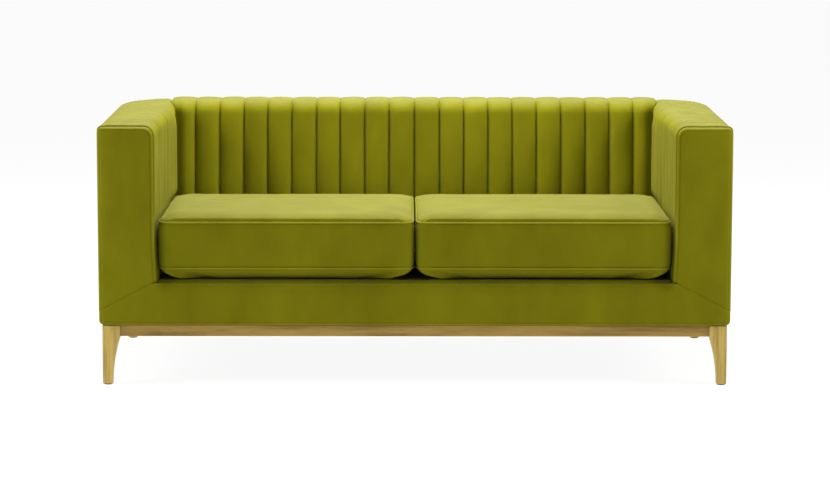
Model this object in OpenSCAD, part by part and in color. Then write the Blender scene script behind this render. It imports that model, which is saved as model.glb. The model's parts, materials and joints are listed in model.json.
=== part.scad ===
// Two-seat sofa: a solid oak base, a timber frame with wave springs, foam and a channel-stitched
// cover, and two loose seat cushions. Millimetres, +Z up, front towards -Y, and the origin on the
// floor under the middle of the sofa. Left and right are as seen from the front, so left is -X.

/* [Body] */
// Width over the outer faces of the arms
sofa_w = 1746; // [1500:2:2100]
// Depth from the front border to the outside back
sofa_d = 820; // [780:10:900]
// Height of the top of the back
back_h = 730; // [725:1:800]
// Height of the top of the arms
arm_h = 724; // [700:1:724]
// Width of an arm's front panel
arm_w = 160; // [140:1:190]
// Height of the seat deck under the cushions
deck_z = 292; // [280:1:310]
// Lean of the inside back, in degrees
rake = 7.8; // [5:0.1:10]
// Padding and cover outside the frame, on the sides and rear
skin = 14; // [10:1:16]
// Plan radius of the two rear corners
rear_corner_r = 40; // [34:1:60]

/* [Oak base] */
// Height from the floor to the body
leg_h = 165; // [150:1:180]
// Width of a leg at the top
leg_top = 48; // [44:1:54]
// Width of a leg at the floor
leg_foot = 27; // [24:1:34]
// Height of a base rail
base_rail_h = 30; // [28:1:40]
// Thickness of a base rail
base_rail_t = 22; // [20:1:24]
// Distance that a leg stands inside the body's outline
leg_inset = 10; // [4:1:12]
// Distance that a rail is set back from the legs' outer faces
rail_setback = 8; // [6:1:8]

/* [Seat cushions] */
// Depth of a cushion
cushion_d = 612; // [580:1:612]
// Height of the upper seam of the boxing above the deck
seam_high = 160; // [130:1:170]
// Height of the lower seam of the boxing above the deck
seam_low = 33; // [24:1:40]
// Rise of the crowned panel above its seam
crown = 24; // [16:1:30]
// Plan radius of a cushion's corners
cushion_r = 34; // [24:1:50]
// Length of the zip in the rear boxing
zip_l = 560; // [400:10:580]

/* [Springs] */
// Number of wave springs in the seat, half of them on each side of the middle
spring_count = 8; // [6:2:10]
// Bend radius of a wave spring
spring_bend_r = 18; // [14:0.5:22]
// Straight length between a spring's bends
spring_straight = 26; // [18:1:34]
// Side of the spring wire, which has a square section
wire = 3.2; // [2.8:0.1:3.6]

/* [Hidden] */
$fn = 48;
cloth = 2; // thickness of a cover, with its backing
half_w = sofa_w / 2;
half_d = sofa_d / 2;
body_z = leg_h + 1; // underside of the frame, above the dust cover
arm_in = half_w - arm_w; // inner edge of an arm's front panel
pad_in = arm_in - 5.5; // inner face of an arm's channel pad
frame_in = arm_in + 9; // inner face of an arm's timber
frame_out = half_w - skin; // outer face of an arm's timber
front_pad = 15; // foam and cover in front of the frame
frame_front = -half_d + front_pad;
frame_rear = half_d - skin;
seat_in = arm_in - 7; // half width of the deck
back_in = arm_in + 7.5; // half width of the inside back, which runs in behind the arm pads
board = 18; // plywood
rail = 24; // hardwood rails
inner_rail_z = body_z + 24; // underside of the rails that stand clear of the dust cover
brace_half = 35; // half width of the seat's centre brace
back_rail_z1 = body_z + 80; // top of the back's bottom rail
arm_rail_z1 = body_z + 60; // top of an arm's bottom rail
corner_cut = rear_corner_r - skin + 0.3; // off the timber inside a rounded rear corner
seat_rail_top = deck_z - 20;
deck_foam_z = deck_z - 13; // underside of the deck's padding, above the springs
arm_board_top = arm_h - 19;
pad_split_z = arm_h - 24; // where the outer cover meets the channel pad
arm_front_top = arm_h - 7; // top edge of an arm's front panel

// Inside back: a raked plane, then an arc over the top rail
back_foot_y = half_d - 188; // front of the inside back at the deck
back_arc_r = 45;
back_arc_z = back_h - back_arc_r;
back_arc_y = back_line(back_arc_z) + back_arc_r / cos(rake);
back_strap = 28; // cover and foam in front of the straps
back_frame = 30; // cover, foam and strap in front of the ribs
tack_z0 = deck_z - 9;
tack_z1 = deck_z + 31;
back_pad_z0 = deck_z - 9;
top_rail_z0 = back_arc_z;
top_rail_z1 = back_arc_z + board;
rear_rail_y0 = back_line(seat_rail_top) + back_frame + 0.7;
function back_line(z) = back_foot_y + (z - deck_z) * tan(rake);

// Base
leg_x = half_w - leg_inset;
leg_y = half_d - leg_inset;
glide_t = 3;
glide_nail_r = 1.3;
glide_nail_h = glide_t + 15;
leg_taper = leg_top - leg_foot;
leg_arc_z = leg_h - base_rail_h;
leg_arc_r = (pow(leg_taper, 2) + pow(leg_arc_z, 2)) / (2 * leg_taper);
rail_mid = rail_setback + base_rail_t / 2; // rail's middle, from a leg's outer face
rail_back = rail_setback + base_rail_t;
dowel_r = 3;
dowel_l = 40;
dowel_offset = 9; // above and below the rail's middle height
rail_mid_z = leg_h - base_rail_h / 2;
bolt_r = 4;
bolt_in_leg = 30; // how far a leg bolt reaches into its leg
bolt_tail = 14; // how far it stands out behind its corner block
block_leg = 58; // length of a corner block along a rail
block_t = base_rail_h - 4;
base_bolt_r = 3;
base_bolt_head_r = 6;
base_bolt_head_h = 4;
base_bolt_x = sofa_w * 0.345;
base_bolt_y = leg_y - rail_mid;
base_bolt_top = body_z + 40;

// Cushion
cushion_x0 = 0.5;
cushion_x1 = pad_in - 1;
cushion_y0 = -half_d + 10;
cushion_y1 = cushion_y0 + cushion_d;
cushion_gap = 0.5; // between a cushion and the deck
crown_run = 70; // how far the crown's edge reaches in from the seam
zip_z = deck_z + (seam_low + seam_high) / 2;
zip_x0 = (cushion_x0 + cushion_x1 - zip_l) / 2;
slider_l = 14;

// Springs
spring_y0 = frame_front + 14;
spring_y1 = rear_rail_y0 + 12;
spring_bends = floor((spring_y1 - spring_y0) / (2 * spring_bend_r));
spring_pitch_y = (spring_y1 - spring_y0) / spring_bends;
bend_r = spring_pitch_y / 2;
spring_pitch_x = 2 * seat_in / spring_count;
clip_t = 1.2; // thickness of a clip's sheet
wire_z = seat_rail_top + clip_t;

SIDES = ["left", "right"];
ENDS = ["front", "rear"];

// ---- Placing and shape helpers -------------------------------------------------------------

// Draws the right-hand version, or its mirror image on the left.
module at_side(s) {
    mirror([s == "left" ? 1 : 0, 0, 0]) children();
}

// Puts a corner's own frame (outer corner at the origin, +X and +Y inwards) at one of the four.
module at_corner(s, e) {
    translate([s == "left" ? -leg_x : leg_x, e == "front" ? -leg_y : leg_y, 0])
        mirror([s == "left" ? 0 : 1, 0, 0])
            mirror([0, e == "front" ? 0 : 1, 0])
                children();
}

module at_all_corners() {
    for (s = SIDES)
        for (e = ENDS)
            at_corner(s, e) children();
}

// A box from its lowest to its highest corner.
module block(low, high) {
    translate(low) cube(high - low);
}

// Extrudes a profile drawn in X and Z along Y, from y0 to y1.
module along_y(y0, y1) {
    translate([0, y1, 0]) rotate([90, 0, 0]) linear_extrude(y1 - y0) children();
}

// Extrudes a profile drawn in Y and Z along X, from x0 to x1.
module along_x(x0, x1) {
    translate([x0, 0, 0]) rotate([90, 0, 90]) linear_extrude(x1 - x0) children();
}

// A rectangle whose top corners have their own radii, with r_in at least r_out.
module arched_rect(x0, x1, z0, z1, r_in, r_out) {
    translate([x0, z0]) square([x1 - x0, z1 - r_in - z0]);
    translate([x0 + r_in, z0]) square([x1 - x0 - r_in, z1 - r_out - z0]);
    translate([x0 + r_in, z0]) square([x1 - x0 - r_in - r_out, z1 - z0]);
    translate([x0 + r_in, z1 - r_in]) circle(r_in);
    translate([x1 - r_out, z1 - r_out]) circle(r_out);
}

// The body's outline in plan, with rounded rear corners, moved in by inset.
module body_plan(inset) {
    r = rear_corner_r - inset;
    y1 = half_d - inset;
    x1 = half_w - inset;
    translate([-x1, -half_d]) square([2 * x1, sofa_d - inset - r]);
    translate([-x1 + r, 0]) square([2 * (x1 - r), y1]);
    for (side = [-1, 1])
        translate([side * (x1 - r), y1 - r]) circle(r);
}

// ---- Oak base ------------------------------------------------------------------------------

// A leg's outline: straight outside, and a long hollow curve inside below the rails.
module leg_outline() {
    difference() {
        translate([0, glide_t]) square([leg_top, leg_h - glide_t]);
        translate([leg_foot + leg_arc_r, 0]) circle(leg_arc_r, $fn = 180);
    }
}

module dowel_bores(radius, length) {
    for (z = [rail_mid_z - dowel_offset, rail_mid_z + dowel_offset]) {
        translate([leg_top - dowel_l / 2, rail_mid, z])
            rotate([0, 90, 0]) cylinder(r = radius, h = length);
        translate([rail_mid, leg_top - dowel_l / 2, z])
            rotate([-90, 0, 0]) cylinder(r = radius, h = length);
    }
}

// Runs the children's +Z from the leg's inner corner diagonally into the leg.
module on_bolt_axis() {
    translate([leg_top, leg_top, rail_mid_z]) rotate([0, 0, 225]) rotate([0, 90, 0]) children();
}

module leg() {
    color("burlywood")
    difference() {
        intersection() {
            along_y(0, leg_top) leg_outline();
            along_x(0, leg_top) leg_outline();
        }
        dowel_bores(dowel_r + 0.05, dowel_l);
        on_bolt_axis() translate([0, 0, -1]) cylinder(r = bolt_r + 0.1, h = bolt_in_leg + 2);
        translate([leg_foot / 2, leg_foot / 2, 0]) cylinder(r = glide_nail_r + 0.05, h = glide_nail_h + 1);
    }
}

// A long base rail, along X at the front or rear.
module base_rail_long() {
    color("burlywood")
    difference() {
        block([-leg_x + leg_top, -leg_y + rail_setback, leg_h - base_rail_h],
              [leg_x - leg_top, -leg_y + rail_back, leg_h]);
        for (s = SIDES)
            at_corner(s, "front") dowel_bores(dowel_r + 0.05, dowel_l);
        base_bolt_bores();
    }
}

// A short base rail, along Y under the right arm.
module base_rail_short() {
    color("burlywood")
    difference() {
        block([leg_x - rail_back, -leg_y + leg_top, leg_h - base_rail_h],
              [leg_x - rail_setback, leg_y - leg_top, leg_h]);
        for (e = ENDS)
            at_corner("right", e) dowel_bores(dowel_r + 0.05, dowel_l);
        base_bolt_bores();
    }
}

module base_dowels() {
    color("wheat")
    at_all_corners() dowel_bores(dowel_r, dowel_l);
}

module corner_blocks() {
    color("tan")
    at_all_corners()
        difference() {
            translate([0, 0, rail_mid_z - block_t / 2])
                linear_extrude(block_t)
                    polygon([
                        [leg_top, rail_back],
                        [leg_top + block_leg, rail_back],
                        [rail_back, leg_top + block_leg],
                        [rail_back, leg_top],
                        [leg_top, leg_top]
                    ]);
            on_bolt_axis() translate([0, 0, -60]) cylinder(r = bolt_r + 0.1, h = 60 + 2 * bolt_r);
        }
}

// Distance from the leg's inner corner to the slanted face of a corner block.
block_face = (rail_back + leg_top + block_leg - 2 * leg_top) / sqrt(2);
washer_t = 1.6;
nut_h = 6.5;

module leg_bolts() {
    color("silver")
    at_all_corners()
        on_bolt_axis()
            translate([0, 0, -block_face - bolt_tail])
                cylinder(r = bolt_r, h = block_face + bolt_tail + bolt_in_leg);
}

// A washer and a hex nut on each leg bolt.
module leg_nuts() {
    color("silver")
    at_all_corners()
        on_bolt_axis()
            difference() {
                union() {
                    translate([0, 0, -block_face - washer_t]) cylinder(r = 9, h = washer_t);
                    translate([0, 0, -block_face - washer_t - nut_h]) cylinder(r = 7.5, h = nut_h, $fn = 6);
                }
                translate([0, 0, -block_face - 20]) cylinder(r = bolt_r + 0.05, h = 21);
            }
}

// Nylon glides, each nailed up into a leg.
module foot_glides() {
    color("dimgray")
    at_all_corners()
        translate([leg_foot / 2, leg_foot / 2, 0]) {
            cylinder(r = leg_foot / 2 - 2, h = glide_t);
            cylinder(r = glide_nail_r, h = glide_nail_h);
        }
}

// Where the bolts between the base and the frame stand.
function base_bolt_places() = concat(
    [for (x = [-base_bolt_x, 0, base_bolt_x]) for (y = [-base_bolt_y, base_bolt_y]) [x, y]],
    [for (x = [rail_mid - leg_x, leg_x - rail_mid]) [x, 0]]
);

module base_bolt_bores() {
    for (p = base_bolt_places())
        translate([p[0], p[1], leg_h - base_rail_h - 1]) {
            cylinder(r = base_bolt_r + 0.1, h = base_bolt_top - leg_h + base_rail_h + 3);
            cylinder(r = base_bolt_head_r + 0.3, h = base_bolt_head_h + 1.2);
        }
}

module base_bolts() {
    color("silver")
    for (p = base_bolt_places())
        translate([p[0], p[1], leg_h - base_rail_h]) {
            cylinder(r = base_bolt_head_r, h = base_bolt_head_h);
            cylinder(r = base_bolt_r, h = base_bolt_top - leg_h + base_rail_h);
        }
}

module dust_cover() {
    color("black")
    difference() {
        translate([0, 0, leg_h])
            linear_extrude(body_z - leg_h)
                intersection() {
                    body_plan(skin + 2);
                    translate([-half_w, frame_front]) square([sofa_w, sofa_d]);
                }
        base_bolt_bores();
    }
}

// ---- Seat frame ----------------------------------------------------------------------------

module seat_rail_front() {
    color("peru")
    difference() {
        block([-frame_in, frame_front, body_z], [frame_in, frame_front + rail, seat_rail_top]);
        base_bolt_bores();
    }
}

module seat_rail_rear() {
    color("peru")
    block([-frame_in, rear_rail_y0, inner_rail_z], [frame_in, rear_rail_y0 + rail, seat_rail_top]);
}

// Lies flat under the springs, from the front rail to the rear rail.
module seat_centre_brace() {
    color("peru")
    block([-brace_half, frame_front + rail, inner_rail_z],
          [brace_half, rear_rail_y0, inner_rail_z + rail]);
}

module seat_side_rail() {
    color("peru")
    block([frame_in, frame_front + board, inner_rail_z],
          [frame_in + rail, frame_rear - board, seat_rail_top]);
}

// One edge of a wave spring's wire, w to the left of its middle line. It runs along +Y from the
// origin: straight, round a bend, straight back, and round the next bend on the other side.
function spring_edge(w) =
    let (last = spring_bends % 2 == 1 ? 1 : -1)
    concat(
        [[-spring_straight / 2, w]],
        [for (k = [0:spring_bends - 1])
            let (side = k % 2 == 0 ? 1 : -1)
            for (a = [-90:22.5:90])
                [side * (spring_straight / 2 + (bend_r - side * w) * cos(a)),
                 (k + 0.5) * spring_pitch_y + (bend_r - side * w) * sin(a)]],
        [[-last * spring_straight / 2, spring_bends * spring_pitch_y - last * w]]
    );

function reversed(list) = [for (k = [len(list) - 1:-1:0]) list[k]];

module wave_spring() {
    linear_extrude(wire)
        polygon(concat(spring_edge(-wire / 2), reversed(spring_edge(wire / 2))));
}

// Puts a copy of the children at each spring's place across the seat.
module at_springs() {
    for (s = SIDES)
        for (k = [0:spring_count / 2 - 1])
            at_side(s) translate([(k + 0.5) * spring_pitch_x, 0, 0]) children();
}

module wave_springs() {
    color("dimgray")
    at_springs() translate([0, spring_y0, wire_z]) wave_spring();
}

// A folded clip over each end of each spring, nailed to the top of a seat rail.
module spring_clips() {
    clip_w = spring_straight - 6;
    reach = 6; // of the clip's sheet to each side of the wire
    clip_z0 = seat_rail_top;
    clip_z1 = wire_z + wire + clip_t;
    play = 0.1;
    color("silver")
    at_springs()
        for (end = [[spring_y0, -1], [spring_y1, 1]])
            translate([-clip_w / 2, end[0], 0])
                mirror([0, end[1] > 0 ? 0 : 1, 0])
                    along_x(0, clip_w)
                        difference() {
                            translate([-reach, clip_z0]) square([2 * reach, clip_z1 - clip_z0]);
                            translate([-reach - 1, wire_z - play])
                                square([reach + 1 + wire / 2 + play, wire + 2 * play]);
                        }
}

module deck_foam() {
    color("khaki")
    block([-seat_in, frame_front + rail, deck_foam_z], [seat_in, back_foot_y - 2, deck_z - cloth]);
}

module deck_cloth() {
    color("olive")
    block([-seat_in, frame_front + rail, deck_z - cloth], [seat_in, back_foot_y - 2, deck_z]);
}

// ---- Arm frames, drawn on the right --------------------------------------------------------

module arm_front_board() {
    color("burlywood")
    along_y(frame_front, frame_front + board)
        arched_rect(frame_in, frame_out, body_z, arm_board_top, 24, 0.5);
}

// Takes the outer rear edge off an arm's timber, so that it stays inside the rounded corner.
module rear_corner_cut() {
    translate([frame_out, frame_rear, 0])
        linear_extrude(arm_h)
            polygon([[-corner_cut, 0], [0, -corner_cut], [1, -corner_cut], [1, 1], [-corner_cut, 1]]);
}

module arm_rear_board() {
    color("burlywood")
    difference() {
        block([frame_in, frame_rear - board, body_z], [frame_out, frame_rear, arm_board_top - board]);
        rear_corner_cut();
    }
}

module arm_top_board() {
    color("burlywood")
    difference() {
        block([frame_in, frame_front + board, arm_board_top - board],
              [frame_out, frame_rear, arm_board_top]);
        rear_corner_cut();
    }
}

module arm_bottom_rail() {
    color("peru")
    difference() {
        block([frame_out - rail, frame_front + board, body_z],
              [frame_out, frame_rear - board, arm_rail_z1]);
        base_bolt_bores();
        rear_corner_cut();
    }
}

module arm_inner_panel() {
    color("sienna")
    block([frame_in, frame_front + board, seat_rail_top],
          [frame_in + 3, frame_rear - board, arm_board_top - board]);
}

// ---- Back frame ----------------------------------------------------------------------------

module back_bottom_rail() {
    color("peru")
    difference() {
        block([-frame_in, frame_rear - rail, body_z], [frame_in, frame_rear, back_rail_z1]);
        base_bolt_bores();
    }
}

module back_top_rail() {
    color("peru")
    along_x(-frame_in, frame_in)
        polygon([
            [back_line(top_rail_z0) + back_frame, top_rail_z0],
            [back_line(top_rail_z1) + back_frame, top_rail_z1],
            [frame_rear, top_rail_z1],
            [frame_rear, top_rail_z0]
        ]);
}

// A raked rail just above the deck that the straps and the cover are stapled to.
module back_tack_rail() {
    color("peru")
    along_x(-seat_in, seat_in)
        polygon([
            [back_line(tack_z0) + back_frame, tack_z0],
            [back_line(tack_z1) + back_frame, tack_z1],
            [back_line(tack_z1) + back_frame + rail, tack_z1],
            [back_line(tack_z0) + back_frame + rail, tack_z0]
        ]);
}

module back_rib_outline() {
    polygon([
        [rear_rail_y0 + rail, inner_rail_z],
        [rear_rail_y0 + rail, tack_z0],
        [back_line(tack_z0) + back_frame + rail, tack_z0],
        [back_line(tack_z1) + back_frame + rail, tack_z1],
        [back_line(tack_z1) + back_frame, tack_z1],
        [back_line(top_rail_z0) + back_frame, top_rail_z0],
        [frame_rear, top_rail_z0],
        [frame_rear, back_rail_z1],
        [frame_rear - rail, back_rail_z1],
        [frame_rear - rail, inner_rail_z]
    ]);
}

// Five plywood ribs between the tack rail, the top rail and the bottom rail.
module back_ribs() {
    color("burlywood")
    for (k = [-2:2]) {
        x = k * (seat_in - board / 2) / 2;
        along_x(x - board / 2, x + board / 2) back_rib_outline();
    }
}

// Elastic straps from the top rail to the tack rail.
module back_straps() {
    strap_w = 50;
    strap_count = 10;
    color("darkslategray")
    for (k = [0:strap_count - 1]) {
        x = (k - (strap_count - 1) / 2) * 2 * seat_in / strap_count;
        along_x(x - strap_w / 2, x + strap_w / 2)
            polygon([
                [back_line(tack_z0) + back_strap, tack_z0],
                [back_line(top_rail_z1 - 3) + back_strap, top_rail_z1 - 3],
                [back_line(top_rail_z1 - 3) + back_frame, top_rail_z1 - 3],
                [back_line(tack_z0) + back_frame, tack_z0]
            ]);
    }
}

// ---- Foam and covers -----------------------------------------------------------------------

// Points along an arc round [y, z], from angle a0 to a1.
function arc(y, z, r, a0, a1, steps = 10) = [
    for (k = [0:steps])
        let (a = a0 + (a1 - a0) * k / steps)
        [y + r * cos(a), z + r * sin(a)]
];

// The inside back's section in Y and Z, moved in by inset.
module back_section(inset) {
    polygon(concat(
        [[back_line(back_pad_z0) + inset / cos(rake), back_pad_z0]],
        arc(back_arc_y, back_arc_z, back_arc_r - inset, 180 - rake, 90),
        arc(frame_rear, back_h - skin, skin - inset, 90, 0, 4),
        [[half_d - inset, back_pad_z0]]
    ));
}

// What the frame and the outside back take out of the inside back's padding.
module back_frame_section() {
    polygon([
        [back_line(0) + back_strap, 0],
        [back_line(top_rail_z1) + back_strap, top_rail_z1],
        [frame_rear, top_rail_z1],
        [frame_rear, pad_split_z],
        [half_d + 1, pad_split_z],
        [half_d + 1, 0]
    ]);
}

module back_foam() {
    color("khaki")
    along_x(-back_in + cloth, back_in - cloth)
        difference() {
            back_section(cloth);
            back_frame_section();
        }
}

module back_channel_cover() {
    color("olivedrab")
    difference() {
        along_x(-back_in, back_in) back_section(0);
        along_x(-back_in + cloth, back_in - cloth) back_section(cloth);
        along_x(-half_w, half_w) back_frame_section();
    }
}

// An arm pad's section in X and Z, moved in by inset.
module arm_section(inset) {
    arched_rect(pad_in + inset, half_w - inset, seat_rail_top, arm_h - inset, 34 - inset, skin - inset);
}

// The whole space of an arm's inner and top padding, moved in by inset.
module arm_pad(inset) {
    intersection() {
        along_y(frame_front, half_d - inset) arm_section(inset);
        linear_extrude(back_h + 1) body_plan(inset);
    }
}

// The space that the arm's timber, the outer covers and the inside back take.
module arm_core() {
    along_x(0, back_in)
        polygon([
            [back_line(0), 0],
            [back_line(back_h), back_h],
            [half_d + 1, back_h],
            [half_d + 1, 0]
        ]);
    block([frame_in, -half_d, 0], [half_w + 1, frame_rear, pad_split_z]);
    block([frame_in, -half_d, 0], [frame_out, frame_rear, arm_board_top]);
    block([0, frame_rear, 0], [half_w + 1, half_d + 1, pad_split_z]);
    block([0, back_line(top_rail_z0) + back_frame, top_rail_z0], [frame_in, frame_rear, top_rail_z1]);
}

// One pad wraps the inside and the top, and another lies behind the front panel.
module arm_foam() {
    color("khaki") {
        difference() {
            arm_pad(cloth);
            arm_core();
        }
        difference() {
            along_y(-half_d + cloth, frame_front) arm_front_outline(cloth);
            block([frame_out, -half_d, 0], [half_w, frame_front, pad_split_z]);
        }
    }
}

module arm_channel_cover() {
    color("olivedrab")
    difference() {
        arm_pad(0);
        arm_pad(cloth);
        arm_core();
    }
}

// The edge of the front panel of an arm.
module arm_front_outline(inset) {
    arched_rect(arm_in, half_w - inset, body_z + 1, arm_front_top, 30, 12 - inset);
}

module arm_front_cover() {
    color("olivedrab")
    along_y(-half_d, -half_d + cloth)
        difference() {
            arm_front_outline(0);
            polygon(mitre_corner());
        }
}

// The lower corner of the front border, under the slanting seam that joins it to the arm.
function mitre_corner() = [
    [arm_in, deck_z],
    [half_w, body_z + 40],
    [half_w, body_z + 1],
    [arm_in, body_z + 1]
];

module front_border_cover() {
    color("olivedrab") {
        along_y(-half_d, -half_d + cloth) {
            translate([-arm_in, body_z + 1]) square([2 * arm_in, deck_z - body_z - 1]);
            polygon(mitre_corner());
            mirror([1, 0]) polygon(mitre_corner());
        }
        block([-seat_in, -half_d, deck_z - cloth], [seat_in, frame_front + rail, deck_z]);
    }
}

// Padding in front of the front rail and, above the springs' clips, over its top.
module front_border_foam() {
    color("khaki") {
        block([-arm_in + 0.5, -half_d + cloth, body_z + 1], [arm_in - 0.5, frame_front, deck_z - cloth]);
        block([-seat_in, frame_front, deck_foam_z], [seat_in, frame_front + rail, deck_z - cloth]);
    }
}

module outer_arm_cover() {
    color("olive")
    block([frame_out, -half_d + cloth, body_z], [half_w, half_d - rear_corner_r, pad_split_z]);
}

module outer_back_cover() {
    color("olive")
    translate([0, 0, body_z])
        linear_extrude(pad_split_z - body_z)
            difference() {
                body_plan(0);
                body_plan(skin);
                translate([-half_w - 1, -half_d - 1])
                    square([sofa_w + 2, sofa_d - rear_corner_r + 1]);
            }
}

// ---- Seat cushions, drawn on the right -----------------------------------------------------

corner_steps = 5;
crown_steps = 4;

// The outline of a cushion at one height: a rectangle with round corners, moved in by inset.
function cushion_ring(z, inset) = [
    for (c = [0:3])
        for (k = [0:corner_steps])
            let (
                angle = 90 * c + 90 * k / corner_steps,
                mx = c == 0 || c == 3 ? cushion_x1 - inset - cushion_r : cushion_x0 + inset + cushion_r,
                my = c < 2 ? cushion_y1 - inset - cushion_r : cushion_y0 + inset + cushion_r
            )
            [mx + cushion_r * cos(angle), my + cushion_r * sin(angle), z]
];

// Heights and insets from the bottom crown, up the boxing, to the top crown.
function cushion_levels(inset) = concat(
    [for (k = [0:crown_steps])
        let (a = 90 * k / crown_steps)
        [deck_z + seam_low - (seam_low - cushion_gap - inset) * cos(a), inset + crown_run * (1 - sin(a))]],
    [for (k = [0:crown_steps])
        let (a = 90 * k / crown_steps)
        [deck_z + seam_high + (crown - inset) * sin(a), inset + crown_run * (1 - cos(a))]]
);

module cushion_solid(inset) {
    levels = cushion_levels(inset);
    n = 4 * (corner_steps + 1);
    last = len(levels) - 1;
    polyhedron(
        points = [for (l = levels) each cushion_ring(l[0], l[1])],
        faces = concat(
            [[for (i = [0:n - 1]) i]],
            [for (j = [0:last - 1]) for (i = [0:n - 1])
                [j * n + i, (j + 1) * n + i, (j + 1) * n + (i + 1) % n, j * n + (i + 1) % n]],
            [[for (i = [n - 1:-1:0]) last * n + i]]
        )
    );
}

module cushion_cover() {
    color("yellowgreen")
    difference() {
        cushion_solid(0);
        cushion_solid(cloth);
    }
}

module cushion_foam() {
    color("khaki")
    cushion_solid(cloth);
}

// A zip tape on the rear boxing with its coil standing on it.
module cushion_zip() {
    color("darkolivegreen") {
        block([zip_x0, cushion_y1, zip_z - 15], [zip_x0 + zip_l, cushion_y1 + 1, zip_z + 15]);
        block([zip_x0, cushion_y1 + 0.5, zip_z - 3], [zip_x0 + zip_l, cushion_y1 + 3.4, zip_z + 3]);
    }
}

// The slider straddles the coil, and its pull hangs behind it.
module zip_slider() {
    x0 = zip_x0 + 3;
    y0 = cushion_y1 + 1.3;
    color("goldenrod") {
        difference() {
            block([x0, y0, zip_z - 5.5], [x0 + slider_l, y0 + 5.6, zip_z + 5.5]);
            block([x0 - 1, y0 - 1, zip_z - 3.3], [x0 + slider_l + 1, y0 + 2.4, zip_z + 3.3]);
        }
        block([x0 + 4, y0 + 5.5, zip_z - 30], [x0 + 10, y0 + 7, zip_z + 2]);
    }
}

// ---- One node at a time --------------------------------------------------------------------

for (e = ENDS)
    for (s = SIDES)
        at_corner(s, e) leg();
base_rail_long();  // base_rail_front
mirror([0, 1, 0]) base_rail_long();  // base_rail_rear
for (s = SIDES)
    at_side(s) base_rail_short();
base_dowels();
corner_blocks();
leg_bolts();
leg_nuts();
foot_glides();
base_bolts();
dust_cover();
seat_rail_front();
seat_rail_rear();
seat_centre_brace();
wave_springs();
spring_clips();
deck_foam();
deck_cloth();
back_bottom_rail();
back_top_rail();
back_tack_rail();
back_ribs();
back_straps();
back_foam();
back_channel_cover();
outer_back_cover();
front_border_foam();
front_border_cover();
for (s = SIDES) {
    at_side(s) seat_side_rail();
    at_side(s) arm_front_board();
    at_side(s) arm_rear_board();
    at_side(s) arm_top_board();
    at_side(s) arm_bottom_rail();
    at_side(s) arm_inner_panel();
    at_side(s) arm_foam();
    at_side(s) arm_channel_cover();
    at_side(s) arm_front_cover();
    at_side(s) outer_arm_cover();
    at_side(s) cushion_cover();
    at_side(s) cushion_foam();
    at_side(s) cushion_zip();
    at_side(s) zip_slider();
}
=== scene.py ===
"""A two-seat velvet sofa on an oak base: the looks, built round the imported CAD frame. Metres.

+X is to the right as seen from the front, +Y is towards the rear and +Z is up.
"""

import json
import math

import bmesh
import bpy
import numpy as np
from mathutils import Matrix, Vector
from mathutils.bvhtree import BVHTree


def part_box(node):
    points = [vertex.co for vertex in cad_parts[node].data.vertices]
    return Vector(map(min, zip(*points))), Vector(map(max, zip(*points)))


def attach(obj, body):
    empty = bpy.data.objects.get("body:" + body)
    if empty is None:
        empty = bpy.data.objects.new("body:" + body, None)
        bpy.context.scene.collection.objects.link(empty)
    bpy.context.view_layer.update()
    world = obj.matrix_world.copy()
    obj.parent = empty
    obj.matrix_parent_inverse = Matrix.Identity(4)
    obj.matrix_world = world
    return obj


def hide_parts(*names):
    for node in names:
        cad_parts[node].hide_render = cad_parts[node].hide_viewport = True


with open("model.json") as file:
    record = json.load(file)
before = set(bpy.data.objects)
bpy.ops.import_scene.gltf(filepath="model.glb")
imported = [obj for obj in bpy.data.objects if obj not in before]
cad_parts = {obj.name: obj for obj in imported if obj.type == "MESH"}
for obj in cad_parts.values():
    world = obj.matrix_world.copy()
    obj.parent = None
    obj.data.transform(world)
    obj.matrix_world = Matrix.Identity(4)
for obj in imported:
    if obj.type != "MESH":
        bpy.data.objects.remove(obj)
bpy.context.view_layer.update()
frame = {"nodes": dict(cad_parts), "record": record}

SIDES = {"left": -1, "right": 1}

# ---- Sizes, from the frame where it gives them -------------------------------------------------

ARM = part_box("arm_channel_cover_right")
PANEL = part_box("arm_front_cover_right")
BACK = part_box("back_channel_cover")
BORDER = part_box("front_border_cover")
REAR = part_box("outer_back_cover")
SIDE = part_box("outer_arm_cover_right")
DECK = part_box("deck_cloth")
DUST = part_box("dust_cover")
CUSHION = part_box("cushion_cover_right")
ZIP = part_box("cushion_zip_right")

HALF_W = SIDE[1].x
FRONT = BORDER[0].y
BODY_BOTTOM = SIDE[0].z
PAD_SPLIT = SIDE[1].z  # height where the outer covers end and the channelled pads begin
SKIN = SIDE[1].x - SIDE[0].x  # thickness of the outer covers
REAR_CORNER = REAR[1].y - REAR[0].y  # radius of the rear corners in plan

RAKE = math.radians(7.8)  # lean of the inside back
BACK_ROUND = 0.045  # radius over the top of the back
ARM_ROUND = 0.034  # radius over an arm's inner top edge
BACK_CHANNELS = 20
CENTRE_CHANNEL = 0.0755  # the two middle channels are a little wider than the rest
ARM_CHANNELS = 11
GROOVE = 0.021  # how far a groove in the back lies below a channel's crown
TOP_GROOVE = 0.005  # the same on top of the back
ARM_GROOVE = 0.0038  # the same on the arms
PAD = 0.0132  # thickness of a channelled pad's edge
PANEL_DEPTH = 0.0146  # from an arm front's face to its back
BORDER_DEPTH = 0.028  # the same on the front border
PAD_FRONT = FRONT + 0.0122  # where an arm's pad starts, inside the depth of the arm front
SIDE_FRONT = FRONT + 0.0128  # where an arm's outer cover starts
LIP_FRONT = FRONT + 0.0235  # where the deck's lip starts, inside the depth of the border
EDGE_ROUND = 0.0115  # rounding of a front panel's edge
STITCH_IN, STITCH_DEPTH = 0.0088, 0.0018  # the stitched line inside that edge

rng = np.random.default_rng(7)


# ---- Mesh helpers ------------------------------------------------------------------------------


def shade_smooth(mesh):
    mesh.polygons.foreach_set("use_smooth", [True] * len(mesh.polygons))


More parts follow.
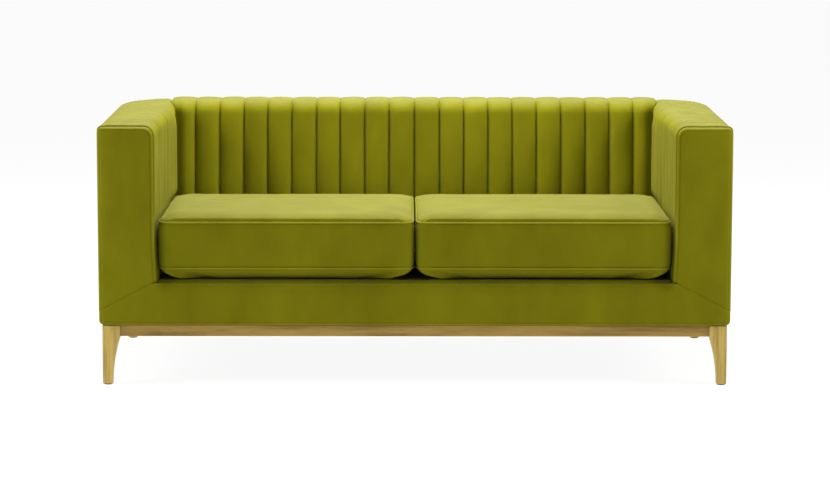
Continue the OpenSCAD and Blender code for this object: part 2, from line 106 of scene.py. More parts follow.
def add_piece(name, verts, faces, material, body):
    """A mesh piece that rides on a body, with its normals outwards."""
    mesh = bpy.data.meshes.new(name)
    mesh.from_pydata([tuple(v) for v in verts], [], faces)
    bm = bmesh.new()
    bm.from_mesh(mesh)
    bmesh.ops.recalc_face_normals(bm, faces=bm.faces)
    bm.to_mesh(mesh)
    bm.free()
    shade_smooth(mesh)
    mesh.materials.append(material)
    piece = bpy.data.objects.new(name, mesh)
    bpy.context.scene.collection.objects.link(piece)
    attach(piece, body)
    return piece


def grid_faces(rows, cols, start, closed=False):
    """Faces between the points of a grid, whose rows may each run round and close."""
    last = cols if closed else cols - 1
    return [
        (start + i * cols + j, start + i * cols + (j + 1) % cols,
         start + (i + 1) * cols + (j + 1) % cols, start + (i + 1) * cols + j)
        for i in range(rows - 1)
        for j in range(last)
    ]


def shell(name, outer, inner, material, body):
    """A closed piece between two grids of points of the same shape."""
    rows, cols, _ = outer.shape
    count = rows * cols
    rim = [i * cols for i in range(rows)]
    rim += [(rows - 1) * cols + j for j in range(1, cols)]
    rim += [i * cols + cols - 1 for i in range(rows - 2, -1, -1)]
    rim += list(range(cols - 2, 0, -1))
    faces = grid_faces(rows, cols, 0) + grid_faces(rows, cols, count)
    faces += [
        (a, b, b + count, a + count) for a, b in zip(rim, rim[1:] + rim[:1])
    ]
    verts = np.concatenate([outer.reshape(-1, 3), inner.reshape(-1, 3)])
    return add_piece(name, verts, faces, material, body)


def tube_loop(points, radius, sides=8):
    """Vertices and faces of a closed tube along a closed run of points, with +Z roughly up."""
    points = np.asarray(points)
    along = np.roll(points, -1, 0) - np.roll(points, 1, 0)
    along /= np.linalg.norm(along, axis=1)[:, None]
    side = np.cross(along, (0, 0, 1))
    side /= np.linalg.norm(side, axis=1)[:, None]
    up = np.cross(side, along)
    turns = [2 * math.pi * k / sides for k in range(sides)]
    ring = np.stack([points + radius * (side * math.cos(a) + up * math.sin(a)) for a in turns], 1)
    count = len(points)
    faces = [
        (i * sides + j, i * sides + (j + 1) % sides,
         (i + 1) % count * sides + (j + 1) % sides, (i + 1) % count * sides + j)
        for i in range(count)
        for j in range(sides)
    ]
    return ring.reshape(-1, 3), faces


def spread(lo, hi, fine, small, large):
    """Places from lo to hi, in small steps within fine of either end and large ones between."""
    near = np.arange(0, fine, small)
    middle = np.arange(lo + fine, hi - fine, large)
    return np.r_[lo + near, middle, (hi - near)[::-1]]


def ramp_up(value, start, end):
    """Goes smoothly from 0 at start to 1 at end."""
    t = np.clip((value - start) / (end - start), 0, 1)
    return t * t * (3 - 2 * t)


def ease(lo, hi, count, power=1.0):
    """Places from lo to hi, crowded towards both ends."""
    t = np.sin(np.linspace(-math.pi / 2, math.pi / 2, count))
    return lo + (hi - lo) * (1 + np.sign(t) * np.abs(t) ** power) / 2


def wave(x, y, scale, seed):
    """A smooth random-looking field from -1 to 1, the same on each run."""
    a = np.sin(x * scale + seed) * np.cos(y * scale * 0.83 + 1.7 * seed)
    b = np.sin(x * scale * 1.9 - y * scale * 1.3 + 2.3 * seed)
    return 0.6 * a + 0.4 * b


# ---- Materials ---------------------------------------------------------------------------------

VELVET_LIGHT, VELVET_DARK = (0.212, 0.202, 0.0042), (0.165, 0.156, 0.0028)
# Paler, bluer colour for up-facing velvet: a painted highlight for the light falling on tops.
VELVET_TOP_HIGHLIGHT = (0.198, 0.192, 0.034)
RAIL_LIGHT, RAIL_DARK = (0.44, 0.285, 0.05), (0.27, 0.155, 0.022)
LEG_LIGHT, LEG_DARK = (0.60, 0.44, 0.11), (0.40, 0.265, 0.055)


class Nodes:
    """A new Principled material, with short calls for adding and linking nodes."""

    def __init__(self, name):
        self.material = bpy.data.materials.new(name)
        self.material.use_nodes = True
        self.tree = self.material.node_tree
        self.shader = self.tree.nodes["Principled BSDF"]

    def add(self, kind, **inputs):
        node = self.tree.nodes.new(kind)
        for key, value in inputs.items():
            node.inputs[key.replace("_", " ")].default_value = value
        return node

    def link(self, a, b):
        self.tree.links.new(a, b)

    def noise(self, scale, detail, roughness, stretch=(1, 1, 1)):
        """Noise in the object's own coordinates, squeezed along each axis by stretch."""
        place = self.add("ShaderNodeTexCoord")
        mapping = self.add("ShaderNodeMapping", Scale=stretch)
        self.link(place.outputs["Object"], mapping.inputs["Vector"])
        node = self.add("ShaderNodeTexNoise", Scale=scale, Detail=detail, Roughness=roughness)
        self.link(mapping.outputs["Vector"], node.inputs["Vector"])
        return node.outputs["Fac"]

    def upward(self):
        """The upward part of the surface's own normal, from -1 to 1."""
        place = self.add("ShaderNodeTexCoord")
        split = self.add("ShaderNodeSeparateXYZ")
        self.link(place.outputs["Normal"], split.inputs["Vector"])
        return split.outputs["Z"]

    def ramp(self, value, stops):
        node = self.tree.nodes.new("ShaderNodeValToRGB")
        elements = node.color_ramp.elements
        for k, (place, colour) in enumerate(stops):
            element = elements[k] if k < 2 else elements.new(place)
            element.position = place
            element.color = (*colour, 1)
        self.link(value, node.inputs["Fac"])
        return node.outputs["Color"]

    def mix(self, a, b, factor, blend="MIX"):
        node = self.tree.nodes.new("ShaderNodeMix")
        node.data_type = "RGBA"
        node.blend_type = blend
        if isinstance(factor, (int, float)):
            node.inputs["Factor"].default_value = factor
        else:
            self.link(factor, node.inputs["Factor"])
        self.link(a, node.inputs["A"])
        self.link(b, node.inputs["B"])
        return node.outputs["Result"]

    def bump(self, heights):
        """Stacks bumps, each (height, strength, distance), and sends them to the shader."""
        normal = None
        for height, strength, distance in heights:
            node = self.add("ShaderNodeBump", Strength=strength, Distance=distance)
            self.link(height, node.inputs["Height"])
            if normal is not None:
                self.link(normal, node.inputs["Normal"])
            normal = node.outputs["Normal"]
        self.link(normal, self.shader.inputs["Normal"])

    def set(self, **values):
        for key, value in values.items():
            self.shader.inputs[key.replace("_", " ")].default_value = value


def velvet(name, light=VELVET_LIGHT, dark=VELVET_DARK, pale=VELVET_TOP_HIGHLIGHT):
    """Short-pile velvet: its pile shades in soft patches, and up-facing surfaces are painted paler, a
    painted highlight for the light falling on tops.
    """
    n = Nodes(name)
    patches = n.noise(9, 4, 0.55, (1, 1, 0.5))
    patch_colour = n.ramp(patches, [(0.3, dark), (0.7, light)])
    # Up-facing surfaces fade to the paler colour by the upward part of their normal: a painted
    # highlight for the light on tops, mixed over the random patches.
    painted_top_highlight = n.ramp(patches, [(0.3, [c * 0.84 for c in pale]), (0.7, pale)])
    patches_and_top_highlight = n.mix(patch_colour, painted_top_highlight, n.ramp(n.upward(), [(0.45, (0,) * 3), (0.95, (1,) * 3)]))
    pile = n.ramp(n.noise(750, 2, 0.6), [(0.3, (0.8,) * 3), (0.7, (1.0,) * 3)])
    n.link(n.mix(patches_and_top_highlight, pile, 0.6, "MULTIPLY"), n.shader.inputs["Base Color"])
    n.set(Roughness=0.8, Specular_IOR_Level=0.04, Sheen_Weight=0.03, Sheen_Roughness=0.5)
    n.set(Sheen_Tint=(0.92, 1.0, 0.65, 1))
    n.bump([(n.noise(28, 3, 0.5), 0.10, 0.004), (n.noise(1400, 2, 0.7), 0.22, 0.0006)])
    return n.material


def oak(name, along, light, dark):
    """Light oak with its grain along one axis, and a few darker streaks and knots."""
    n = Nodes(name)
    stretch = [24.0, 24.0, 24.0]
    stretch["XYZ".index(along)] = 1.3
    grain = n.noise(2.6, 6, 0.62, stretch)
    pores = n.noise(16, 3, 0.7, stretch)
    base = n.ramp(grain, [(0.33, dark), (0.52, light), (0.74, [c * 1.12 for c in light])])
    fleck = n.ramp(pores, [(0.36, (0.66, 0.56, 0.42)), (0.50, (1, 1, 1))])
    colour = n.mix(base, fleck, 0.5, "MULTIPLY")
    knots = n.noise(0.9, 3, 0.5, [c**0.6 for c in stretch])
    knot_shade = n.ramp(knots, [(0.62, (1, 1, 1)), (0.76, (0.62, 0.48, 0.34))])
    n.link(n.mix(colour, knot_shade, 0.8, "MULTIPLY"), n.shader.inputs["Base Color"])
    n.set(Roughness=0.42, Coat_Weight=0.06, Coat_Roughness=0.3, Specular_IOR_Level=0.3)
    n.bump([(grain, 0.10, 0.0006), (pores, 0.16, 0.0004)])
    return n.material


def cloth(name, colour, weave):
    """Plain or non-woven cloth; a higher weave is a finer one."""
    n = Nodes(name)
    shades = [(0.3, [c * 0.72 for c in colour]), (0.7, colour)]
    n.link(n.ramp(n.noise(weave, 2, 0.6), shades), n.shader.inputs["Base Color"])
    n.set(Roughness=0.9, Sheen_Weight=0.04)
    n.bump([(n.noise(weave * 1.4, 2, 0.6), 0.3, 0.0005)])
    return n.material


def sawn(name, light, dark, along="X"):
    """Bare timber or plywood."""
    n = Nodes(name)
    stretch = [20.0, 20.0, 20.0]
    stretch["XYZ".index(along)] = 1.5
    grain = n.noise(3, 5, 0.6, stretch)
    n.link(n.ramp(grain, [(0.35, dark), (0.65, light)]), n.shader.inputs["Base Color"])
    n.set(Roughness=0.8)
    n.bump([(grain, 0.2, 0.0008)])
    return n.material


def foam_block(name):
    n = Nodes(name)
    cells = n.noise(420, 3, 0.8)
    shades = [(0.3, (0.55, 0.47, 0.25)), (0.6, (0.80, 0.73, 0.48))]
    n.link(n.ramp(cells, shades), n.shader.inputs["Base Color"])
    n.set(Roughness=0.95)
    n.bump([(cells, 0.5, 0.001)])
    return n.material


def metal(name, colour, roughness):
    n = Nodes(name)
    wear = n.noise(160, 4, 0.6)
    shades = [(0.3, [c * 0.7 for c in colour]), (0.7, colour)]
    n.link(n.ramp(wear, shades), n.shader.inputs["Base Color"])
    n.set(Metallic=1.0, Roughness=roughness)
    n.bump([(wear, 0.08, 0.0003)])
    return n.material


def nylon(name, colour):
    n = Nodes(name)
    skin = n.noise(300, 3, 0.6)
    shades = [(0.3, [c * 0.75 for c in colour]), (0.7, colour)]
    n.link(n.ramp(skin, shades), n.shader.inputs["Base Color"])
    n.set(Roughness=0.5)
    n.bump([(skin, 0.12, 0.0003)])
    return n.material


VELVET = velvet("velvet")
# The border's rolled top and the deck's lip lie in the cushions' shade, so this shaded copy leaves out
# the painted top highlight.
SHADED_VELVET = velvet("shaded_velvet", pale=VELVET_LIGHT)
# The piping's colour is lighter than the velvet's: a painted highlight for the bright line it catches.
HIGHLIGHTED_PIPING_VELVET = velvet("highlighted_piping_velvet", (0.29, 0.275, 0.009), (0.22, 0.207, 0.006))
OAK = {
    "X": oak("oak_along_x", "X", RAIL_LIGHT, RAIL_DARK),
    "Y": oak("oak_along_y", "Y", RAIL_LIGHT, RAIL_DARK),
    "Z": oak("oak_along_z", "Z", LEG_LIGHT, LEG_DARK),
}
CLOTHS = {
    "deck_cloth": cloth("deck_weave", (0.10, 0.095, 0.010), 700),
    "dust_cloth": cloth("dust_nonwoven", (0.022, 0.022, 0.024), 300),
    "webbing": cloth("webbing_weave", (0.03, 0.03, 0.035), 500),
    "zip_tape": cloth("zip_weave", (0.11, 0.115, 0.012), 1200),
}
TIMBER = sawn("timber", (0.52, 0.34, 0.16), (0.36, 0.21, 0.09))
PLYWOOD = sawn("plywood", (0.60, 0.44, 0.24), (0.45, 0.30, 0.14), "Z")
FOAM = foam_block("foam")
METALS = {
    "steel": metal("zinc_plate", (0.58, 0.58, 0.56), 0.34),
    "spring_wire": metal("spring_wire", (0.22, 0.22, 0.22), 0.4),
    "brass": metal("brass_plate", (0.62, 0.45, 0.17), 0.28),
}
BLACK_NYLON = nylon("black_nylon", (0.03, 0.03, 0.03))
COIL_NYLON = nylon("coil_nylon", (0.14, 0.145, 0.02))
GRAIN = {"base_rail_left": "Y", "base_rail_right": "Y"}  # legs run along Z, other oak along X
BY_SLOT = {**CLOTHS, **METALS, "timber": TIMBER, "plywood": PLYWOOD, "foam": FOAM,
           "nylon": BLACK_NYLON, "velvet": VELVET}


def dress_cad_nodes():
    """Gives every CAD node its material, and eases the edges of the wood that shows."""
    for entry in frame["record"]["subparts"]:
        name, slot = entry["node"], entry["material_slot"]
        node = frame["nodes"][name]
        if slot == "oak":
            material = OAK["Z" if name.startswith("leg_") else GRAIN.get(name, "X")]
            bevel = node.modifiers.new("eased_edges", "BEVEL")
            bevel.width = 0.0016
            bevel.segments = 3
            bevel.angle_limit = math.radians(50)
            bevel.harden_normals = False
        else:
            material = BY_SLOT[slot]
        node.data.materials.clear()
        node.data.materials.append(material)


# ---- Channelled pads ---------------------------------------------------------------------------


def pillow(t):
    """Height of a channel across its width, from 0 in the grooves to 1 at the crown."""
    return (1 - np.abs(t) ** 2.4) ** 0.5


def channel_places(edges, samples=15):
    """Places across a run of channels, how high each stands, and which channel it is in."""
    places, heights, which = [], [], []
    for k, (a, b) in enumerate(zip(edges, edges[1:])):
        t = ease(-1, 1, samples, 0.9)
        keep = slice(0, None) if k == len(edges) - 2 else slice(0, -1)
        places += list(((a + b) / 2 + t * (b - a) / 2)[keep])
        heights += list(pillow(t)[keep])
        which += [k] * len(t[keep])
    return np.array(places), np.array(heights), np.array(which)


def path_points(pieces, step):
    """Points and outward normals along straight runs and arcs in a plane.

    A piece is ("line", from, to, normal) or ("arc", centre, radius, from angle, to angle)."""
    points, normals = [], []
    for piece in pieces:
        if piece[0] == "line":
            _, a, b, normal = piece
            a, b = np.array(a), np.array(b)
            count = max(2, int(np.linalg.norm(b - a) / step))
            for t in np.linspace(0, 1, count, endpoint=False):
                points.append(a + (b - a) * t)
                normals.append(normal)
        else:
            _, centre, radius, a0, a1 = piece
            count = max(5, int(abs(a1 - a0) * radius / (step * 0.6)))
            for angle in np.linspace(a0, a1, count, endpoint=False):
                normal = (math.cos(angle), math.sin(angle))
                points.append(np.array(centre) + radius * np.array(normal))
                normals.append(normal)
    if pieces[-1][0] == "line":
        points.append(b)
        normals.append(normals[-1])
    else:
        normal = (math.cos(a1), math.sin(a1))
        points.append(np.array(centre) + radius * np.array(normal))
        normals.append(normal)
    return np.array(points), np.array(normals)


def channelled_back():
    """The inside back: sewn channels that lean with it, roll over its top and end behind it."""
    z0, top = BACK[0].z, BACK[1].z
    arc_z = top - BACK_ROUND
    foot_y = BACK[0].y
    arc_y = foot_y + (arc_z - z0) * math.tan(RAKE) + BACK_ROUND / math.cos(RAKE)
    rear_y = BACK[1].y
    tangent = (arc_y - BACK_ROUND * math.cos(RAKE), arc_z + BACK_ROUND * math.sin(RAKE))
    front_normal = (-math.cos(RAKE), math.sin(RAKE))
    path, normal = path_points(
        [
            ("line", (foot_y, z0), tangent, front_normal),
            ("arc", (arc_y, arc_z), BACK_ROUND, math.pi - RAKE, math.pi / 2),
            ("line", (arc_y, top), (rear_y - SKIN, top), (0, 1)),
            ("arc", (rear_y - SKIN, top - SKIN), SKIN, math.pi / 2, 0),
            ("line", (rear_y, top - SKIN), (rear_y, PAD_SPLIT), (1, 0)),
        ],
        0.009,
    )
    half = BACK[1].x
    plain = (half - CENTRE_CHANNEL) / (BACK_CHANNELS / 2 - 1)
    right = [0] + [CENTRE_CHANNEL + plain * k for k in range(BACK_CHANNELS // 2)]
    edges = np.array([-x for x in right[:0:-1]] + right)
    edges[1:-1] += rng.uniform(-0.0012, 0.0012, BACK_CHANNELS - 1)
    x, height, which = channel_places(edges)
    fullness = rng.uniform(0.9, 1.0, BACK_CHANNELS)[which]
    s = np.linspace(0, 1, len(path))
    soft = 0.0007 * wave(x[None, :] * 9, s[:, None] * 6, 3.1, 0.4) * height[None, :]
    faces_front = np.clip(-normal[:, 0], 0, 1)[:, None]
    depth = TOP_GROOVE + (GROOVE - TOP_GROOVE) * faces_front
    drop = depth * (1 - height * fullness)[None, :] - soft
    pad = PAD + 0.0138 * faces_front
    crease = 0.012 * ramp_up(np.abs(x), half - 0.036, half - 0.018)[None, :] * faces_front
    drop = np.minimum(drop + crease, pad - 0.0015)
    rows, cols = len(path), len(x)
    outer = np.empty((rows, cols, 3))
    drift = 0.0012 * np.sin(s[:, None] * 5 + which[None, :] * 1.9) * height[None, :]
    outer[..., 0] = x[None, :] + drift
    outer[..., 1] = path[:, None, 0] - normal[:, None, 0] * drop
    outer[..., 2] = path[:, None, 1] - normal[:, None, 1] * drop
    inner = np.empty_like(outer)
    inner[..., 0] = x[None, :]
    inner[..., 1] = path[:, None, 0] - normal[:, None, 0] * pad
    inner[..., 2] = path[:, None, 1] - normal[:, None, 1] * pad
    piece = shell("inside_back", outer, inner, VELVET, "sofa_frame")
    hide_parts("back_channel_cover", "back_foam")


def rear_corner_x(y):
    """Outer edge of the body in plan at y, rounded at the rear."""
    past = np.clip(y - (REAR[1].y - REAR_CORNER), 0, REAR_CORNER)
    return HALF_W - REAR_CORNER + np.sqrt(REAR_CORNER**2 - past**2)


def arm_lean(z):
    """How far an arm's front narrows on its inner side at height z."""
    return 0.0055 * ramp_up(z, BORDER[1].z, BORDER[1].z + 0.13)


def arm_bulge(y, z):
    """How far the arm's inner padding stands out above the cushion, near the back."""
    fullest = 0.17
    along = np.exp(-(((y - fullest) / np.where(y < fullest, 0.15, 0.058)) ** 2))
    upwards = ramp_up(z, 0.45, 0.476) * (1 - 0.75 * ramp_up(z, 0.66, 0.722))
    crease = 0.005 * ramp_up(y, 0.19, 0.25) * (1 - ramp_up(z, 0.65, 0.70))
    return 0.0125 * along * upwards - crease


def channelled_arm(side, sign):
    """An arm's pad: channels up its inside, over its top and down to its outer cover."""
    x_in, top = ARM[0].x, ARM[1].z
    path, normal = path_points(
        [
            ("line", (x_in, ARM[0].z), (x_in, top - ARM_ROUND), (-1, 0)),
            ("arc", (x_in + ARM_ROUND, top - ARM_ROUND), ARM_ROUND, math.pi, math.pi / 2),
            ("line", (x_in + ARM_ROUND, top), (HALF_W - SKIN, top), (0, 1)),
            ("arc", (HALF_W - SKIN, top - SKIN), SKIN, math.pi / 2, 0),
            ("line", (HALF_W, top - SKIN), (HALF_W, PAD_SPLIT), (1, 0)),
        ],
        0.010,
    )
    y0, y1 = PAD_FRONT, ARM[1].y
    edges = np.linspace(y0, y1, ARM_CHANNELS + 1)
    edges[1:-1] += rng.uniform(-0.001, 0.001, ARM_CHANNELS - 1)
    y, height, which = channel_places(edges)
    fullness = rng.uniform(0.9, 1.0, ARM_CHANNELS)[which]
    # A few more places turn the rear end down to the cover below it.
    down = np.array([0.34, 0.67, 1.0])
    past = np.clip(y - (y1 - SKIN), 0, SKIN)
    rear_edge = top - SKIN + np.sqrt(SKIN**2 - past**2)
    ceiling = np.r_[rear_edge, top - SKIN - (top - SKIN - PAD_SPLIT) * down]
    y = np.r_[y, y1 + 0.0004 * down]
    height, fullness = np.r_[height, 0 * down], np.r_[fullness, 0 * down]
    s = np.linspace(0, 1, len(path))
    # The channels flatten out towards the outer edge of the arm's top.
    depth = ARM_GROOVE * (1 - 0.6 * np.clip((s - 0.78) / 0.22, 0, 1))
    drop = depth[:, None] * (1 - height * fullness)[None, :]
    drop = drop - 0.0006 * wave(y[None, :] * 9, s[:, None] * 6, 3.3, sign) * height[None, :]
    x = path[:, None, 0] - normal[:, None, 0] * drop
    z = path[:, None, 1] - normal[:, None, 1] * drop

    def place(x, z):
        # Lean the inner face, with its front end drawn in behind the arm front beside the cushion.
        inward = np.clip((HALF_W - x) / (HALF_W - x_in), 0, 1)
        front = 1 - ramp_up(y, -0.30, 0.05)[None, :]
        x = x + inward * (arm_lean(z) * front - arm_bulge(y[None, :], z))
        behind = 1 - ramp_up(y, FRONT + 0.012, FRONT + 0.05)[None, :]
        x = x + 0.0065 * inward * behind * (1 - ramp_up(z, 0.43, 0.49))
        # Soften the outer edge and the rear corner, and round that corner in plan.
        outward = np.clip((x - HALF_W + 0.05) / 0.05, 0, 1) ** 2
        free = ramp_up(y, FRONT, FRONT + 0.06)[None, :]
        lift = np.clip((z - PAD_SPLIT) / (top - PAD_SPLIT), 0, 1)
        z = z - lift * outward * (0.004 + 0.006 * free)
        corner = ramp_up(x, HALF_W - 0.13, HALF_W) * ramp_up(y, y1 - 0.16, y1)[None, :]
        z = z - lift * corner * 0.007
        middle = (x_in + HALF_W) / 2
        limit = rear_corner_x(y)[None, :]
        share = np.clip((x - middle) / (HALF_W - middle), 0, None)
        x = np.where(x > middle, middle + share * (limit - middle), x)
        grid = np.empty((*x.shape, 3))
        grid[..., 0] = sign * x
        grid[..., 1] = y[None, :]
        grid[..., 2] = np.minimum(z, ceiling[None, :])
        return grid

    inner_x = path[:, None, 0] - normal[:, None, 0] * PAD + 0 * y[None, :]
    inner_z = path[:, None, 1] - normal[:, None, 1] * PAD + 0 * y[None, :]
    inner = place(inner_x, inner_z)
    inner[..., 1] = np.clip(inner[..., 1], y0, y1 - PAD + 0.0004 * (inner[..., 1] > y1))
    inner[..., 2] = np.minimum(inner[..., 2], top - PAD)
    piece = shell("arm_pad_" + side, place(x, z), inner, VELVET, "sofa_frame")
    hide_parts("arm_channel_cover_" + side, "arm_foam_" + side)


# ---- Flat covers -------------------------------------------------------------------------------


def edge_drop(distance):
    """How far a padded panel's face falls back near its edge, with a stitched line inside it."""
    t = np.clip(distance / EDGE_ROUND, 0, 1)
    rounding = EDGE_ROUND * (1 - np.sqrt(1 - (1 - t) ** 2))
    stitch = STITCH_DEPTH * np.exp(-(((distance - STITCH_IN) / 0.0012) ** 2))
    return rounding + stitch


def front_panel(name, xs, v, low, high, distance, seam, seed, nodes, depth, back, material):
    """A padded panel on the front, between two edges given as functions of x.

    distance, seam and back are functions of x and z: how far a point is from the panel's free edges
    and from its slanting seams, and how far the face is set back there."""
    x = np.repeat(xs[:, None], len(v), 1)
    z = low(xs)[:, None] + (high(xs) - low(xs))[:, None] * v[None, :]
    d = np.maximum(distance(x, z), 0)
    joined = np.maximum(seam(x, z), 0)
    face = FRONT + edge_drop(d) + 0.0024 * np.exp(-joined / 0.0028)
    face += 0.0009 * (1 + wave(x, z, 11, seed)) * np.clip(np.minimum(d, joined) / 0.03, 0, 1)
    face += back(x, z)
    outer_edge = np.clip(1 - (HALF_W - np.abs(x)) / 0.045, 0, 1)
    face = np.minimum(face + 0.0065 * outer_edge**2, FRONT + depth - 0.0012)
    lean = arm_lean(z) * np.clip((HALF_W - np.abs(x)) / (HALF_W - PANEL[0].x), 0, 1)
    x = x + np.sign(x) * lean * (np.abs(x) > PANEL[0].x - 0.001)
    outer = np.stack([x, face, z], -1)
    inner = np.stack([x, np.full_like(x, FRONT + depth), z], -1)
    piece = shell(name, outer, inner, material, "sofa_frame")
    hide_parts(*nodes)


MITRE_IN, MITRE_OUT = (PANEL[0].x, BORDER[1].z), (HALF_W, PANEL[0].z)
MITRE_SLOPE = (MITRE_OUT[1] - MITRE_IN[1]) / (MITRE_OUT[0] - MITRE_IN[0])
MITRE_COS = 1 / math.hypot(1, MITRE_SLOPE)


def mitre_z(x):
    """Height of the slanting seam that joins an arm's front to the front border."""
    return MITRE_IN[1] + (np.abs(x) - MITRE_IN[0]) * MITRE_SLOPE


def arm_front(side, sign):
    """The flat panel on an arm's front, with rounded top corners and a seam along its slanting foot."""
    x0, x1, top = PANEL[0].x, HALF_W - 0.0005, PANEL[1].z
    r_in, r_out = 0.028, 0.016

    def high(x):
        x = np.abs(x)
        inner = np.clip(x0 + r_in - x, 0, r_in)
        outer = np.clip(x - (x1 - r_out), 0, r_out)
        fall = r_in - np.sqrt(r_in**2 - inner**2) + r_out - np.sqrt(r_out**2 - outer**2)
        return top - fall

    def distance(x, z):
        x = np.abs(x)
        d = np.minimum.reduce([x - x0, x1 - x, top - z])
        for radius, centre, is_near in (
            (r_in, x0 + r_in, x < x0 + r_in),
            (r_out, x1 - r_out, x > x1 - r_out),
        ):
            corner = is_near & (z > top - radius)
            d = np.where(corner, radius - np.hypot(x - centre, z - (top - radius)), d)
        return d

    def seam(x, z):
        return (z - mitre_z(x)) * MITRE_COS

    xs = sign * spread(x0, x1, 0.030, 0.0014, 0.006)
    v = spread(0, 1, 0.09, 0.0034, 0.018)
    front_panel("arm_front_" + side, xs, v, mitre_z, high, distance, seam, sign,
                ["arm_front_cover_" + side], PANEL_DEPTH, lambda x, z: 0, VELVET)


def front_border():
    """The panel under the cushions, whose ends run out under the arm fronts' slanting seams."""
    low_z, top = BORDER[0].z, BORDER[1].z - 0.0075
    x_end, r = HALF_W - 0.0005, 0.013

    def high(x):
        return np.minimum(mitre_z(x), top)

    def low(x):
        past = np.clip(np.abs(x) - (x_end - r), 0, r)
        return low_z + r - np.sqrt(r**2 - past**2)

    def distance(x, z):
        flat = np.where(np.abs(x) < MITRE_IN[0], top - z, 1.0)
        corner = (np.abs(x) > x_end - r) & (z < low_z + r)
        rounded = r - np.hypot(np.abs(x) - (x_end - r), z - (low_z + r))
        plain = np.minimum.reduce([x_end - np.abs(x), z - low_z, flat])
        return np.where(corner, rounded, plain)

    def seam(x, z):
        return np.where(np.abs(x) > MITRE_IN[0], (mitre_z(x) - z) * MITRE_COS, 1.0)

    def roll_back(x, z):
        near_top = 1 - ramp_up(top - z, 0, 0.034)
        return 0.0125 * near_top * (1 - ramp_up(np.abs(x), 0.695, MITRE_IN[0]))

    wing = spread(MITRE_IN[0], x_end, 0.02, 0.0014, 0.007)
    xs = np.concatenate([-wing[::-1], np.linspace(-MITRE_IN[0], MITRE_IN[0], 120)[1:-1], wing])
    front_panel("front_border", xs, ease(0, 1, 64), low, high, distance, seam, 2.2,
                ["front_border_cover", "front_border_foam"], BORDER_DEPTH, roll_back, SHADED_VELVET)


def deck():
    """The seat deck, with a velvet lip in front and a plain cloth behind its seam."""
    seam = DECK[0].y
    half = DECK[1].x + 0.012
    xs = np.linspace(-half, half, 90)
    for name, y0, y1, material, slot, nodes in (
        ("deck_lip", LIP_FRONT, seam, SHADED_VELVET, "velvet", []),
        ("deck_sheet", seam, BACK[0].y + 0.012, CLOTHS["deck_cloth"], "deck_cloth", ["deck_cloth"]),
    ):
        ys = ease(y0, y1, 16 if name == "deck_lip" else 60)
        x, y = np.meshgrid(xs, ys, indexing="ij")
        edge = np.minimum(y - y0, y1 - y)
        top = DECK[1].z - 0.0022 * np.exp(-edge / 0.004) - 0.0005 * (1 + wave(x, y, 14, 0.8))
        top = top - 0.008 * (1 - ramp_up(y, LIP_FRONT, LIP_FRONT + 0.0125))
        outer = np.stack([x, y, top], -1)
        inner = np.stack([x, y, top - 0.002], -1)
        piece = shell(name, outer, inner, material, "sofa_frame")
        if nodes:
            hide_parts(*nodes)


def outer_cover(name, plan, normal, nodes, seed):
    """A padded cover that follows a line in plan, from under the body up to the channelled pads."""
    height = PAD_SPLIT - BODY_BOTTOM
    v = ease(0, 1, 54)
    z = BODY_BOTTOM + height * v
    run = np.cumsum(np.r_[0, np.linalg.norm(np.diff(plan, axis=0), axis=1)])
    end = np.minimum(run, run[-1] - run)
    tuck = 0.008 * np.clip(1 - v / 0.06, 0, 1) ** 2  # pulled in at the bottom edge
    seam = 0.0022 * np.exp(-(1 - v) * height / 0.004)
    side_seam = 0.002 * np.exp(-end / 0.005)
    soft = 0.0012 * (1 + wave(run[:, None], z[None, :], 7, seed))
    drop = 0.0005 + side_seam[:, None] + (tuck + seam)[None, :] + soft
    outer = np.empty((len(plan), len(v), 3))
    outer[..., :2] = plan[:, None, :] - normal[:, None, :] * drop[..., None]
    outer[..., 2] = z[None, :]
    inner = np.empty_like(outer)
    inner[..., :2] = (plan - normal * (SKIN - 0.0005))[:, None, :]
    inner[..., 2] = z[None, :]
    piece = shell(name, outer, inner, VELVET, "sofa_frame")
    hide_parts(*nodes)


def outer_covers():
    """The plain covers outside the arms and round the back."""
    for side, sign in SIDES.items():
        ys = ease(SIDE_FRONT, SIDE[1].y, 70)
        plan = np.stack([np.full_like(ys, sign * HALF_W), ys], -1)
        normal = np.tile((sign, 0.0), (len(ys), 1))
        outer_cover("outer_arm_" + side, plan, normal, ["outer_arm_cover_" + side], sign)
    centre_x, centre_y, r = HALF_W - REAR_CORNER, REAR[1].y - REAR_CORNER, REAR_CORNER
    path, normal = path_points(
        [
            ("arc", (-centre_x, centre_y), r, math.pi, math.pi / 2),
            ("line", (-centre_x, centre_y + r), (centre_x, centre_y + r), (0, 1)),
            ("arc", (centre_x, centre_y), r, math.pi / 2, 0),
        ],
        0.014,
    )
    outer_cover("outer_back", path, normal, ["outer_back_cover"], 3.0)


def dust_sheet():
    """Black cloth stretched under the body, sagging a little between its staples."""
    lo, hi = DUST
    xs, ys = np.linspace(lo.x, hi.x, 120), np.linspace(lo.y, hi.y, 60)
    x, y = np.meshgrid(xs, ys, indexing="ij")
    edge = np.minimum.reduce([x - lo.x, hi.x - x, y - lo.y, hi.y - y])
    corner = 0.024  # the rear corners are rounded, so the cloth is trimmed there
    cut = np.clip(np.abs(x) - (hi.x - corner), 0, None) * (y > hi.y - corner)
    y = np.where(y > hi.y - corner, y - cut * 0.6, y)
    sag = 0.0035 * np.clip((edge - 0.05) / 0.2, 0, 1) ** 0.7
    pucker = 0.0007 * np.sin(x * 95) * np.sin(y * 95) * np.exp(-np.abs(edge - 0.05) / 0.02)
    low = lo.z + 0.0002 - sag + pucker
    outer = np.stack([x, y, low], -1)
    inner = np.stack([x, y, low + 0.0008], -1)
    piece = shell("dust_sheet", outer, inner, CLOTHS["dust_cloth"], "sofa_frame")
    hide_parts("dust_cover")


# ---- Seat cushions -----------------------------------------------------------------------------

